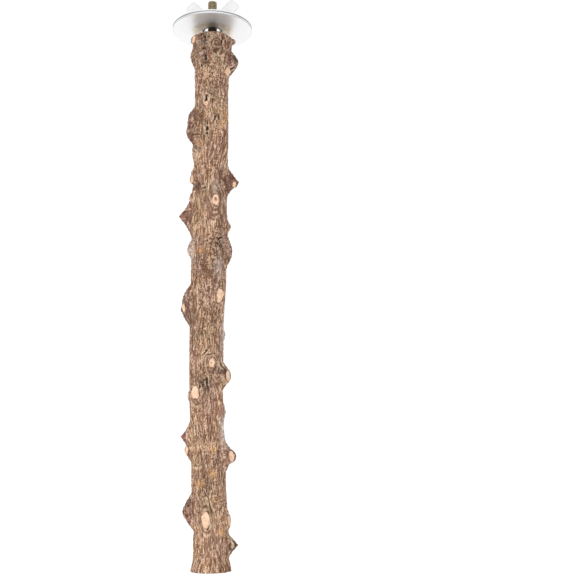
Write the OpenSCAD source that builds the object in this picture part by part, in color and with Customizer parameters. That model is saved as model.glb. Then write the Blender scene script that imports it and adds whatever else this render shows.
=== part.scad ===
// Natural-branch bird perch with a screw-clamp end.
// A length of knobbly branch keeps its bark. A hanger bolt is screwed into one sawn end,
// and two wide washers and a wing nut on the bolt clamp the side of a wire cage between them.
// +Z is up and +Y is the way the bolt points. The origin is the centre of the sawn end
// that the bolt leaves, so the branch runs from Y = 0 towards -Y.

/* [Branch] */
// Length of the branch between its two sawn ends
branch_len = 322; // [220:1:420]
// Diameter of the branch over its bark, between the knots
trunk_d = 20.2; // [16:0.1:30]
// Thickness of the bark
bark_t = 2; // [1:0.1:2.5]
// How far the bark's long ridges rise and fall
ridge_depth = 0.4; // [0:0.05:0.8]
// How far a trimmed twig's sawn face stands proud of the bark round it
stub_proud = 0.3; // [0.1:0.05:1]

/* [Hanger bolt] */
// Diameter of the stud over its thread
stud_d = 5.8; // [4:0.1:8]
// Length of the stud outside the branch
stud_out = 25; // [22:0.5:50]
// Depth of the bolt inside the branch
bolt_in = 32; // [20:1:60]
// Length of the plain shank between the wood screw and the sawn end
shank_len = 5; // [3:0.5:12]
// Diameter of the wood-screw end
lag_d = 5; // [3:0.1:5.6]
// Length of the wood screw's point
lag_tip = 6; // [3:0.5:10]
// Pitch of the stud's thread, which sets the depth of the chamfer at its tip
thread_pitch = 1; // [0.7:0.05:1.5]

/* [Washers] */
// Outer diameter of both washers
washer_d = 50; // [36:1:70]
// Hole in both washers
washer_hole_d = 10; // [9:0.1:12]
// Thickness of each washer
washer_t = 1.2; // [0.8:0.1:2.5]
// Free space between the sawn end and the inner washer
washer_gap = 6; // [4.5:0.5:7]
// Rounding of a washer's rim
washer_edge = 0.25; // [0.1:0.05:0.35]

/* [Wing nut] */
// Height of the nut's hub
hub_h = 8; // [5:0.5:10]
// Diameter of the hub where it meets the washer
hub_d = 10.4; // [10.4:0.1:16]
// Diameter of the hub's top
hub_top_d = 9.2; // [9:0.1:10.4]
// Chamfer round the hub's ends and its bore
hub_edge = 0.5; // [0.2:0.1:0.8]
// Height of the nut over its wings
nut_h = 17; // [14:0.5:22]
// Span across the two wings
wing_span = 34; // [28:0.5:44]
// Width of a wing's blade
wing_w = 8; // [6:0.5:10]
// Thickness of a wing's blade at its tip
wing_t = 1.8; // [1.2:0.1:2.5]
// Thickness of a wing's blade at the hub
wing_root_t = 3; // [2.5:0.1:4]
// Rounding of a wing's corners
wing_round = 1.8; // [0.5:0.1:2.5]
// How far the wings lean out from the nut's axis, in degrees
wing_lean = 45; // [30:1:55]
// How far the nut stands turned on the stud, in degrees
nut_turned = 10; // [0:1:90]

/* [Hidden] */

// Gap round the bolt in its pilot hole
pilot_clear = 0.02;
// Gap round the stud in the nut's bore
run_clear = 0.05;
// Gap left between the top of a hanging washer's hole and the stud
hang_clear = 0.08;
// How far a tool runs past what it cuts
overrun = 1.5;
// Depth of a metric thread as a share of its pitch
thread_depth_share = 0.613;

// Counts of rings and sides of the bark's outer skin, and of the wood under it
skin_rings = 92;
skin_sides = 40;
core_rings = 30;
core_sides = 20;

trunk_r = trunk_d / 2;
stud_r = stud_d / 2;
washer_drop = washer_hole_d / 2 - stud_r - hang_clear;
inner_y = washer_gap;
outer_y = washer_gap + washer_t;
nut_y = washer_gap + 2 * washer_t;

// Share of the length, then the girth there as a share of the trunk's radius
girth_shares = [
    [0, 1.22], [0.03, 1.14], [0.07, 1.04], [0.11, 1], [0.19, 1.02], [0.32, 0.97], [0.4, 1.03],
    [0.47, 1], [0.59, 0.98], [0.71, 0.95], [0.84, 0.94], [0.95, 0.96], [0.977, 0.97], [1, 1.13]
];
// Share of the length, then how far the trunk strays along X and Z, in shares of its radius
stray_shares = [
    [0, [0, 0]], [0.1, [-0.05, 0.03]], [0.2, [-0.03, 0.1]], [0.32, [-0.13, 0.14]],
    [0.47, [-0.2, 0.06]], [0.59, [-0.29, -0.05]], [0.71, [-0.3, -0.12]], [0.84, [-0.18, -0.1]],
    [0.95, [0, -0.02]], [1, [0, 0]]
];

// Knots of the branch. Each row holds the share of the length, the angle round the trunk
// from +Z towards +X, then the rise, half length and half width as shares of the trunk's
// radius, and how blunt the knot is: 1 is a cone, 2 a round swelling, 4 flat-topped.
knot_shares = [
    [0.003, 94, 0.2, 0.24, 0.3, 3], [0.011, -61, 0.1, 0.5, 0.45, 2], [0.027, 13, 0.08, 0.5, 0.42, 3],
    [0.038, -92, 0.2, 0.8, 0.7, 2], [0.0535, 82, 0.56, 0.92, 0.85, 1.7], [0.1, 85, 0.04, 0.35, 0.4, 2],
    [0.139, -17, 0.08, 0.55, 0.4, 2], [0.167, -92, 0.44, 0.85, 0.8, 2],
    [0.195, -88, 0.5, 0.92, 0.75, 2], [0.23, -80, 0.17, 0.9, 0.6, 2], [0.283, -86, 0.17, 0.55, 0.5, 3],
    [0.292, 90, 0.78, 1.1, 0.8, 1], [0.325, -90, 0.2, 0.8, 0.8, 1.6], [0.332, 22, 0.16, 0.8, 0.62, 2.5],
    [0.36, -90, 0.82, 1.35, 0.9, 1.1], [0.38, 88, 0.22, 0.5, 0.5, 1.5], [0.423, -90, 0.26, 0.6, 0.6, 2],
    [0.427, 88, 0.31, 1.08, 0.6, 2], [0.514, 46, 0.06, 0.7, 0.5, 3], [0.527, -88, 0.48, 1.3, 0.9, 3],
    [0.582, 88, 0.11, 0.45, 0.5, 2], [0.637, 16, 0.14, 0.6, 0.5, 2.5],
    [0.657, 82, 0.38, 0.84, 0.7, 2.4], [0.692, -38, 0.14, 0.65, 0.55, 2.5],
    [0.693, -93, 0.14, 0.4, 0.4, 2], [0.722, 88, 0.13, 0.6, 0.5, 2], [0.766, -90, 0.58, 1, 0.75, 1.1],
    [0.793, -84, 0.3, 0.6, 0.6, 2], [0.8, 84, 0.6, 1.02, 0.75, 1.2],
    [0.897, -90, 0.56, 1.12, 0.85, 1.8], [0.911, -16, 0.14, 0.75, 0.5, 2.5],
    [0.911, 80, 0.16, 0.65, 0.5, 3], [0.955, 90, 0.54, 0.7, 0.65, 1.15],
    [0.01, 134, 0.32, 0.55, 0.5, 2], [0.012, -134, 0.3, 0.55, 0.5, 2], [0.05, 170, 0.3, 0.9, 0.8, 2],
    [0.12, 215, 0.5, 0.85, 0.7, 1.3], [0.165, 150, 0.24, 0.75, 0.6, 2],
    [0.25, 195, 0.42, 0.95, 0.8, 1.6], [0.3, 145, 0.16, 0.6, 0.5, 2], [0.395, 175, 0.55, 1, 0.8, 1.3],
    [0.45, 230, 0.2, 0.6, 0.5, 2], [0.49, 155, 0.3, 0.9, 0.7, 3], [0.56, 205, 0.36, 0.9, 0.7, 2],
    [0.61, 145, 0.18, 0.6, 0.5, 2], [0.67, 188, 0.5, 0.9, 0.75, 1.3], [0.74, 150, 0.3, 0.8, 0.65, 2.5],
    [0.78, 220, 0.2, 0.6, 0.5, 2], [0.85, 178, 0.4, 1, 0.8, 2], [0.935, 200, 0.34, 0.8, 0.7, 1.6]
];

// Twigs trimmed off flush, whose sawn wood shows through the bark. Each row holds the share
// of the length, the angle round the trunk, the twig's diameter as a share of the trunk's
// radius, and three angles in degrees: how far the twig leans along the branch from square,
// how far its sawn face is turned round the branch, and how far the twig tilts off its line.
stub_shares = [
    [0.0123, -58, 0.34, 47, 15, 0], [0.0747, 62, 0.42, 41, -20, 8],
    [0.147, -16, 0.2, 40, 0, 20], [0.2207, -58, 0.28, 42, 10, 0],
    [0.2887, -74, 0.32, 52, 22, 0], [0.2987, 80, 0.26, 53, -35, 15],
    [0.3364, 18, 0.36, 62, 0, 0], [0.515, 40, 0.46, 60, 0, 18],
    [0.5343, -75, 0.3, 53, 25, 0], [0.6374, 14, 0.35, 53, 0, 0],
    [0.659, 68, 0.36, 58, -15, 0], [0.69, -36, 0.56, 42, 0, -15],
    [0.7898, -76, 0.3, 52, 25, 0], [0.8014, 73, 0.42, 48, -25, 0],
    [0.91, -14, 0.47, 60, 0, 0], [0.913, 72, 0.32, 58, -15, 0],
    [0.05, 170, 0.42, 45, 0, 0], [0.165, 150, 0.34, 50, 0, 10],
    [0.3, 145, 0.3, 45, 0, 0], [0.49, 155, 0.46, 52, 0, -12],
    [0.56, 205, 0.4, 40, 0, 0], [0.74, 150, 0.46, 50, 0, 10],
    [0.85, 178, 0.42, 45, 0, 0]
];

// Shape of the branch, worked out from the tables above.

// Angle folded into -180 to 180
function folded(a) = a - 360 * round(a / 360);

// Where the middle of the trunk lies, at a share of the length
function middle(along) = let(k = stray_at(along)) [k[0] * trunk_r, -along * branch_len, k[1] * trunk_r];

// The row of a table that a share falls in, and a value worked out between its ends
function row_of(table, at, i = 0) =
    i >= len(table) - 2 || at < table[i + 1][0] ? i : row_of(table, at, i + 1);
function eased(u) = u * u * (3 - 2 * u);
function between(table, at) =
    let(i = row_of(table, at), a = table[i], b = table[i + 1])
    a[1] + (b[1] - a[1]) * eased((at - a[0]) / (b[0] - a[0]));
function stray_at(along) = between(stray_shares, along);
function girth_at(along) = trunk_r * between(girth_shares, along);

// How much one knot lifts the bark at a place
function lift(knot, along, angle) =
    let(
        up = (along - knot[0]) * branch_len / (knot[3] * trunk_r),
        round_trunk = folded(angle - knot[1]) * PI / 180 / knot[4],
        far = sqrt(up * up + round_trunk * round_trunk)
    )
    far < 1 ? knot[2] * trunk_r * pow(1 - pow(far, knot[5]), 1.6) : 0;

// Lifts of all the knots at a place, of which neighbours blend without adding up
function lifts(along, angle) = norm([for (knot = knot_shares) lift(knot, along, angle)]);

// The bark's ridges run along the branch and drift slowly round it
function ridges(along, angle) =
    ridge_depth * (sin(6 * angle + 140 * sin(700 * along)) + sin(5 * angle - 900 * along)) / 2;

// Distance of the bark's outside from the middle of the trunk
function skin_r(along, angle) = girth_at(along) + ridges(along, angle) + lifts(along, angle);

// Distance of the wood from the middle of the trunk
function core_r(along) = girth_at(along) - bark_t;

function around(along, angle, r) = middle(along) + r * [sin(angle), 0, cos(angle)];
function skin_ring(i) =
    [for (j = [0 : skin_sides - 1])
        let(along = i / skin_rings, angle = 360 * j / skin_sides)
        around(along, angle, skin_r(along, angle))];
function core_ring(i) =
    [for (j = [0 : core_sides - 1])
        let(along = i / core_rings) around(along, 360 * j / core_sides, core_r(along))];

// Triangles between neighbouring rings of a sweep, whose points start at a given number
function wall(rings, sides, first, out) =
    [for (i = [0 : rings - 1]) for (j = [0 : sides - 1]) for (half = [0, 1])
        let(
            a = first + i * sides + j,
            b = first + i * sides + (j + 1) % sides,
            c = half == 0 ? [a, b, b + sides] : [a, b + sides, a + sides]
        )
        out ? c : [c[2], c[1], c[0]]];

// Flat ring that joins the skin to the wood's outline at one end of the branch
function end_ring(skin_first, core_first, out) =
    let(step = skin_sides / core_sides)
    [for (j = [0 : core_sides - 1]) for (k = [0 : step])
        let(
            inner = core_first + j,
            next_inner = core_first + (j + 1) % core_sides,
            outer = skin_first + (j * step + k) % skin_sides,
            next_outer = skin_first + (j * step + k + 1) % skin_sides,
            c = k < step ? [inner, next_outer, outer] : [inner, next_inner, outer]
        )
        out ? c : [c[2], c[1], c[0]]];

// The wood under the bark, as one closed form
module core_form() {
    last = core_rings * core_sides;
    cap = [for (j = [0 : core_sides - 1]) core_sides - 1 - j];
    far_cap = [for (j = [0 : core_sides - 1]) last + j];
    polyhedron(
        points = [for (i = [0 : core_rings]) each core_ring(i)],
        faces = concat(wall(core_rings, core_sides, 0, true), [cap, far_cap]),
        convexity = 4
    );
}

// The bark as a tube, with the knots raised on it and the wood's outline inside it
module bark_form() {
    skin_count = (skin_rings + 1) * skin_sides;
    core_last = skin_count + core_rings * core_sides;
    polyhedron(
        points = concat(
            [for (i = [0 : skin_rings]) each skin_ring(i)],
            [for (i = [0 : core_rings]) each core_ring(i)]
        ),
        faces = concat(
            wall(skin_rings, skin_sides, 0, true),
            wall(core_rings, core_sides, skin_count, false),
            end_ring(0, skin_count, true),
            end_ring(skin_rings * skin_sides, core_last, false)
        ),
        convexity = 6
    );
}

// One trimmed twig, from inside the wood to its sawn face, and on past it when it cuts the bark
module twig(stub, past) {
    along = stub[0];
    angle = stub[1];
    face = skin_r(along, angle) + stub_proud;
    root = core_r(along) - overrun;
    reach = (face + overrun) * 2;
    translate(middle(along)) rotate([0, angle, 0])
        intersection() {
            translate([0, 0, face]) rotate([0, 0, -stub[5]]) rotate([stub[3], 0, 0])
                cylinder(h = reach * 2, d = stub[2] * trunk_r, center = true, $fn = 48);
            translate([0, 0, face]) rotate([0, stub[4], 0])
                translate([-reach, -reach, -reach]) cube([reach * 2, reach * 2, reach + past]);
            translate([-reach, -reach, root]) cube(reach * 2);
        }
}

module twigs(past) {
    for (stub = stub_shares)
        twig(stub, past);
}

// Space between the planes of the two sawn ends
module between_ends() {
    room = 2 * trunk_d;
    translate([-room, -branch_len, -room]) cube([2 * room, branch_len, 2 * room]);
}

// Turns what is drawn along +Z so that it lies along +Y
module on_axis() {
    rotate([-90, 0, 0]) children();
}

// Pale wood of the branch, bored from one sawn end for the hanger bolt
module wood_core() {
    lag_r = lag_d / 2 + pilot_clear;
    shank_r = stud_r + pilot_clear;
    color("burlywood")
    difference() {
        core_form();
        on_axis()
        rotate_extrude($fn = 64)
        polygon([
            [0, -bolt_in - pilot_clear],
            [lag_r, lag_tip - bolt_in],
            [lag_r, -shank_len],
            [shank_r, -shank_len],
            [shank_r, overrun],
            [0, overrun]
        ]);
    }
}

// Ridged bark with its knots, open where the trimmed twigs come through it
module bark() {
    color("sienna")
    difference() {
        bark_form();
        twigs(overrun);
    }
}

// Sawn ends of the side twigs, which grow out of the wood through the bark
module twig_stubs() {
    color("navajowhite")
    difference() {
        intersection() {
            twigs(0);
            between_ends();
        }
        core_form();
    }
}

// Bolt with a wood screw at one end and a machine thread at the other
module hanger_bolt() {
    tip = thread_depth_share * thread_pitch;
    color("darkkhaki")
    on_axis()
    rotate_extrude($fn = 64)
    polygon([
        [0, -bolt_in],
        [lag_d / 2, lag_tip - bolt_in],
        [lag_d / 2, -shank_len],
        [stud_r, -shank_len],
        [stud_r, stud_out - tip],
        [stud_r - tip, stud_out],
        [0, stud_out]
    ]);
}

// Wide washer that hangs by its hole on the stud
module washer(y) {
    hole_r = washer_hole_d / 2;
    rim = washer_d / 2;
    e = washer_edge;
    color("gainsboro")
    translate([0, y, -washer_drop]) on_axis()
    rotate_extrude($fn = 128)
    polygon([
        [hole_r + e, 0], [rim - e, 0], [rim, e], [rim, washer_t - e],
        [rim - e, washer_t], [hole_r + e, washer_t], [hole_r, washer_t - e], [hole_r, e]
    ]);
}

module inner_washer() {
    washer(inner_y);
}

module outer_washer() {
    washer(outer_y);
}

// Side outline of one wing's blade, with round outer corners
module wing_outline() {
    c = cos(wing_lean);
    s = sin(wing_lean);
    flat = wing_w - 2 * wing_round;
    // the far end is square to the blade, so its two round corners set the span and the height
    end = [
        wing_span / 2 - flat / 2 * c - wing_round * (1 - s),
        nut_h - flat / 2 * s - wing_round * (1 - c)
    ];
    run = (end[0] - hub_top_d / 4) / s;
    translate(end) rotate(-wing_lean) {
        translate([-wing_w / 2, -run]) square([wing_w, run - wing_round]);
        translate([-flat / 2, -run]) square([flat, run]);
        for (side = [-1, 1])
            translate([side * flat / 2, -wing_round]) circle(wing_round, $fn = 32);
    }
}

// One wing: its side outline, thinned towards the tip
module wing() {
    far = wing_span / 2 + overrun;
    intersection() {
        rotate([90, 0, 0])
            linear_extrude(wing_root_t, center = true)
            intersection() {
                wing_outline();
                translate([stud_r + run_clear, hub_edge]) square([far, nut_h]);
            }
        linear_extrude(nut_h + overrun)
            polygon([
                [0, -wing_root_t / 2], [hub_d / 2, -wing_root_t / 2], [far, -wing_t / 2],
                [far, wing_t / 2], [hub_d / 2, wing_root_t / 2], [0, wing_root_t / 2]
            ]);
    }
}

// Wing nut: a round hub with two leaning wings, bored for the stud
module wing_nut() {
    bore_r = stud_r + run_clear;
    e = hub_edge;
    color("whitesmoke")
    translate([0, nut_y, 0]) rotate([0, -nut_turned, 0]) on_axis()
    difference() {
        union() {
            rotate_extrude($fn = 64)
            polygon([
                [0, 0], [hub_d / 2 - e, 0], [hub_d / 2, e], [hub_top_d / 2, hub_h - e],
                [hub_top_d / 2 - e, hub_h], [0, hub_h]
            ]);
            for (side = [0, 180])
                rotate([0, 0, side]) wing();
        }
        translate([0, 0, -overrun]) cylinder(h = nut_h + 2 * overrun, r = bore_r, $fn = 64);
    }
}

wood_core();
bark();
twig_stubs();
hanger_bolt();
inner_washer();
outer_washer();
wing_nut();
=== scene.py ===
# A natural-branch bird perch: a knobbly length of branch in its bark, with a hanger bolt in one
# sawn end and two wide washers and a wing nut that clamp the side of a wire cage.
# +Y is the way the bolt points and +Z is up. Lengths are in metres where a comment doesn't say mm.
import math

import bmesh
import bpy
import numpy as np
from mathutils import Matrix, Vector, noise


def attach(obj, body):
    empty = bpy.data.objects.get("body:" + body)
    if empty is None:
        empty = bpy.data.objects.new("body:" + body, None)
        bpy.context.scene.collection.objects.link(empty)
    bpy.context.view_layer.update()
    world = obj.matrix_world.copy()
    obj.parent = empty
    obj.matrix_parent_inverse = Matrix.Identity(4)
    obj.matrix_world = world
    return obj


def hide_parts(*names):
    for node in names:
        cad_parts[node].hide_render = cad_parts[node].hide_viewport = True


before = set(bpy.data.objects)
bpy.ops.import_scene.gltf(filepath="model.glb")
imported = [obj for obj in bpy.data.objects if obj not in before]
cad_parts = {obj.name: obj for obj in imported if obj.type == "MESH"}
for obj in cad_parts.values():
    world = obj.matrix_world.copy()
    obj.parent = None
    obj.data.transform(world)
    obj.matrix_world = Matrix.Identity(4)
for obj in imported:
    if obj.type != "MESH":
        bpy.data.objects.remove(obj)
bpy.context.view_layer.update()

# The wood of the branch: a pale hardwood, cross-cut at both ends with a fine saw and bored from
# one end for the bolt. Only the two sawn ends show, with their rings and a few drying checks.
BRANCH_LENGTH = 0.322
TRUNK_RADIUS = 0.0101
BARK_THICKNESS = 0.002
SAW_GAP = 0.00005  # how far the sawn faces lie under the CAD's, clear of the inner washer
WOOD_SIDES, WOOD_RINGS, FACE_RINGS = 168, 60, 26
RIM_WOBBLE = 0.00018
CHECK_WIDTH = 0.00022

# Share of the length, then the girth there as a share of the trunk's radius
GIRTHS = [
    (0, 1.22), (0.03, 1.14), (0.07, 1.04), (0.11, 1), (0.19, 1.02), (0.32, 0.97), (0.4, 1.03),
    (0.47, 1), (0.59, 0.98), (0.71, 0.95), (0.84, 0.94), (0.95, 0.96), (0.977, 0.97), (1, 1.13),
]
# Share of the length, then how far the trunk strays along X and along Z, in trunk radii
STRAYS = [
    (0, 0, 0), (0.1, -0.05, 0.03), (0.2, -0.03, 0.1), (0.32, -0.13, 0.14), (0.47, -0.2, 0.06),
    (0.59, -0.29, -0.05), (0.71, -0.3, -0.12), (0.84, -0.18, -0.1), (0.95, 0, -0.02), (1, 0, 0),
]
# The hole for the bolt from its bottom up: depth under the sawn end, then radius
PILOT_STEPS = [(0.032, 0.0), (0.026, 0.00252), (0.005, 0.00252), (0.005, 0.00292),
               (SAW_GAP, 0.00292)]
# Drying checks: angle, how far from the middle each one reaches, and its depth
CHECKS = [(25, 0.0052, 0.0003), (140, 0.0064, 0.0005), (262, 0.0047, 0.0003)]


def between(table, column, at):
    """A column of a table read at shares of the length, eased from row to row."""
    shares = np.array([row[0] for row in table], float)
    values = np.array([row[column] for row in table], float)
    low = np.clip(np.searchsorted(shares, at, side="right") - 1, 0, len(shares) - 2)
    step = (at - shares[low]) / (shares[low + 1] - shares[low])
    return values[low] + (values[low + 1] - values[low]) * step * step * (3 - 2 * step)


def wood_radius(share):
    return TRUNK_RADIUS * between(GIRTHS, 1, share) - BARK_THICKNESS


def around_branch(share, degrees, radius, lift=0.0):
    """Points at an angle from +Z towards +X and a distance from the middle of the branch."""
    turn = np.radians(degrees)
    x = between(STRAYS, 1, share) * TRUNK_RADIUS + radius * np.sin(turn)
    z = between(STRAYS, 2, share) * TRUNK_RADIUS + radius * np.cos(turn)
    y = -share * BRANCH_LENGTH + lift
    return np.stack(np.broadcast_arrays(x, y, z), axis=-1)


def straight_out(degrees):
    """Directions out from the branch, at an angle from +Z towards +X."""
    turn = np.radians(degrees)
    return np.stack([np.sin(turn), 0 * turn, np.cos(turn)], axis=-1)


def folded(degrees):
    """The same angle between -180 and 180."""
    return (degrees + 180) % 360 - 180


def noise_at(points, offset):
    """Smooth noise, from about -1 to 1, at an array of points."""
    flat = (points.reshape(-1, 3) + offset).tolist()
    return np.array([noise.noise(point) for point in flat]).reshape(points.shape[:-1])


def closed_tube(name, rings, capped=True):
    """A mesh through rings of points: a loop that closes on itself, or one capped by its end
    rings, which are points. Its faces point outwards."""
    count, sides = rings.shape[:2]
    first = np.arange(count - 1 if capped else count)[:, None] * sides
    side = np.arange(sides)[None, :]
    beyond = (first + sides) % (count * sides)
    quads = np.stack(np.broadcast_arrays(
        first + side, beyond + side, beyond + (side + 1) % sides, first + (side + 1) % sides
    ), axis=-1).reshape(-1, 4)
    mesh = bpy.data.meshes.new(name)
    mesh.from_pydata(rings.reshape(-1, 3).tolist(), [], quads.tolist())
    whole = bmesh.new()
    whole.from_mesh(mesh)
    if capped:
        bmesh.ops.remove_doubles(whole, verts=whole.verts, dist=1e-7)
    bmesh.ops.recalc_face_normals(whole, faces=whole.faces)
    whole.to_mesh(mesh)
    whole.free()
    return mesh


def put(name, data):
    """A mesh, light or camera as an object in the scene."""
    thing = bpy.data.objects.new(name, data)
    bpy.context.scene.collection.objects.link(thing)
    return thing


def coat(mesh, finish):
    mesh.materials.clear()
    mesh.materials.append(finish.material)


def add_piece(name, mesh, finish):
    coat(mesh, finish)
    return put(name, mesh)


class Nodes:
    """A node tree, its nodes added and linked in short lines."""

    def __init__(self, tree):
        self.tree = tree

    def feed(self, socket, value):
        """Links a socket to another node or one of its outputs, or sets its value."""
        if isinstance(value, bpy.types.Node):
            value = value.outputs[0]
        if isinstance(value, bpy.types.NodeSocket):
            self.tree.links.new(value, socket)
        else:
            socket.default_value = (*value, 1) if socket.type == "RGBA" else value

    def add(self, kind, inputs=(), **settings):
        node = self.tree.nodes.new(kind)
        for key, value in settings.items():
            setattr(node, key, value)
        for key, value in dict(inputs).items():
            self.feed(node.inputs[key], value)
        return node

    def reckon(self, way, a, b=0.0, c=0.0, clamped=False):
        return self.add("ShaderNodeMath", {0: a, 1: b, 2: c}, operation=way,
                        use_clamp=clamped).outputs[0]

    def times(self, a, b):
        return self.reckon("MULTIPLY", a, b)

    def vector(self, way, a, b=(0, 0, 0), scale=1.0):
        node = self.add("ShaderNodeVectorMath", {0: a, 1: b, 3: scale}, operation=way)
        return node.outputs["Value" if way == "LENGTH" else "Vector"]

    def parts(self, place):
        """The X, Y and Z of a place."""
        return self.add("ShaderNodeSeparateXYZ", {0: place}).outputs

    def spanned(self, value, low, high, at_low, at_high, eased=False):
        """A value that runs from low to high, made to run from at_low to at_high."""
        return self.add("ShaderNodeMapRange", {
            "Value": value, "From Min": low, "From Max": high, "To Min": at_low,
            "To Max": at_high,
        }, interpolation_type="SMOOTHSTEP" if eased else "LINEAR").outputs[0]

    def wandering(self, place, scale, detail, reach):
        """A small shift for each place, drawn from a cloud of noise."""
        cloud = self.add("ShaderNodeTexNoise", {
            "Vector": place, "Scale": scale, "Detail": detail})
        centred = self.vector("SUBTRACT", cloud.outputs["Color"], (0.5, 0.5, 0.5))
        return self.vector("SCALE", centred, scale=reach)


class Finish(Nodes):
    """A material, its patterns read at places on the piece."""

    def __init__(self, name):
        self.material = bpy.data.materials.new(name)
        self.material.use_nodes = True
        super().__init__(self.material.node_tree)
        self.shader = self.tree.nodes["Principled BSDF"]
        self.place = self.add("ShaderNodeTexCoord").outputs["Object"]

    def stretched(self, scale, turn=(0, 0, 0), place=None, centre=(0, 0, 0)):
        return self.add("ShaderNodeMapping", {
            "Vector": place or self.place, "Scale": scale, "Rotation": turn,
            "Location": centre})

    def speckle(self, scale, detail=3.0, rough=0.55, twist=0.0, place=None):
        return self.add("ShaderNodeTexNoise", {
            "Vector": place or self.place, "Scale": scale, "Detail": detail,
            "Roughness": rough, "Distortion": twist}).outputs["Fac"]

    def flakes(self, scale, place):
        """A tone for each flake, and the distance to the crack round it."""
        where = {"Vector": place, "Scale": scale}
        tones = self.add("ShaderNodeTexVoronoi", where)
        cracks = self.add("ShaderNodeTexVoronoi", where, feature="DISTANCE_TO_EDGE")
        return tones.outputs["Color"], cracks.outputs["Distance"]

    def mark(self, name):
        """A number that the mesh holds at its points."""
        return self.add("ShaderNodeAttribute", attribute_name=name).outputs["Fac"]

    def ramp(self, value, *stops):
        """A shade that runs from stop to stop, each a value and the shade there."""
        node = self.add("ShaderNodeValToRGB", {"Fac": value})
        band = node.color_ramp
        while len(band.elements) < len(stops):
            band.elements.new(0.5)
        for stop, (at, shade) in zip(band.elements, stops):
            stop.position, stop.color = at, (shade, shade, shade, 1)
        return node.outputs["Color"]

    def mixed(self, share, a, b, way="MIX"):
        return self.add("ShaderNodeMix", {0: share, 6: a, 7: b}, data_type="RGBA",
                        blend_type=way).outputs[2]

    def layered(self, colour, *layers):
        """A colour with layers over it in order: the share of each, its colour, and its way of
        mixing where that isn't plain. A share is a value, or a value and its ramp."""
        for share, over, *way in layers:
            share = self.ramp(*share) if isinstance(share, tuple) else share
            colour = self.mixed(share, colour, over, *way)
        return colour

    def bumped(self, *layers):
        """Bumps in order, each a height and its depth in metres."""
        below = {}
        for height, depth in layers:
            below = {"Normal": self.add("ShaderNodeBump", {
                "Height": height, "Distance": depth, "Strength": 1.0, **below})}
        self.set(**below)

    def set(self, **values):
        for key, value in values.items():
            self.feed(self.shader.inputs[key.replace("_", " ")], value)


wood_degrees = np.arange(WOOD_SIDES) * 360 / WOOD_SIDES
wobble = RIM_WOBBLE * noise_at(3 * straight_out(wood_degrees), (0, 7, 0))


def sawn_face(end, start):
    """Rings over a sawn end, from a starting radius to its rim, sunk where the wood checked."""
    rim = wood_radius(end) + wobble
    rings = []
    for step in np.linspace(0, 1, FACE_RINGS):
        radius = start + (rim - start) * step
        sunk = SAW_GAP
        for heading, reach, depth in CHECKS:
            off = np.abs(np.radians(folded(wood_degrees - heading))) * radius
            sunk = sunk + (depth * np.clip(1 - off / CHECK_WIDTH, 0, 1)
                           * np.clip(1 - radius / reach, 0, 1))
        rings.append(around_branch(end, wood_degrees, radius, sunk if end else -sunk))
    return rings


# From the bottom of the bolt's hole, out over the sawn end, along, and in over the far end
wood_rings = [around_branch(0.0, wood_degrees, radius, -depth) for depth, radius in PILOT_STEPS]
wood_rings += sawn_face(0.0, PILOT_STEPS[-1][1])
wood_rings += [around_branch(share, wood_degrees, wood_radius(share) + wobble)
               for share in np.linspace(0.001, 0.999, WOOD_RINGS)]
wood_rings += sawn_face(1.0, 0.0)[::-1]

end_grain = Finish("sawn end grain")
year_rings = end_grain.add("ShaderNodeTexWave", {
    "Vector": end_grain.stretched((1, 0.02, 1)), "Scale": 330.0, "Distortion": 1.6,
    "Detail": 2.0, "Detail Scale": 60.0,
}, wave_type="RINGS", rings_direction="Y", wave_profile="SIN").outputs["Fac"]
fibres = end_grain.speckle(1800.0, 2.0)
blotches = end_grain.speckle(160.0)
from_bolt = end_grain.vector("LENGTH", end_grain.place)
# Painted shade: the sawn face at the bolt end is darker all over and darkest round the bolt, for
# the shade in the narrow gap under the washers.
painted_end_shade = end_grain.times(end_grain.spanned(from_bolt, 0.0045, 0.0105, 0.92, 0.35),
                       end_grain.reckon("LESS_THAN", from_bolt, 0.1))
end_colour = end_grain.layered(
    (0.66, 0.44, 0.28),
    ((year_rings, (0.25, 0.0), (0.9, 1.0)), (0.48, 0.27, 0.14)),
    ((fibres, (0.42, 0.0), (0.7, 0.6)), (0.38, 0.22, 0.12)),
    ((blotches, (0.5, 0.0), (0.75, 0.45)), (0.34, 0.22, 0.15)),
    (painted_end_shade, (0.13, 0.11, 0.085)))
saw_lines = end_grain.speckle(1500.0, 1.0, place=end_grain.stretched((1, 1, 0.06), (0, 0.5, 0)))
end_grain.bumped((saw_lines, 0.00012), (fibres, 0.0001))
end_grain.set(Base_Color=end_colour, Roughness=0.86, Specular_IOR_Level=0.25)

wood_mesh = closed_tube("sawn_wood", np.array(wood_rings))
sawn_wood = add_piece("sawn_wood", wood_mesh, end_grain)
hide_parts("wood_core")
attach(sawn_wood, "branch")

# The bark: the branch's own skin, thin, dry and fissured, left on as it grew. It swells over
# buried twigs, runs in long ridges that part round each knot, and is split and pitted in places.
MM = 0.001  # the relief of the bark is reckoned in mm, and so are the tables of its details
LENGTH_MM, RADIUS_MM = BRANCH_LENGTH / MM, TRUNK_RADIUS / MM
BARK_RINGS, BARK_SIDES, INNER_RINGS = 556, 168, 14
RIDGE_LIFT = 0.0004
KNOT_FLANK = 1.6  # above 1, a knot runs out softly into the bark round it
TWIG_PROUD = 0.0003
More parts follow.
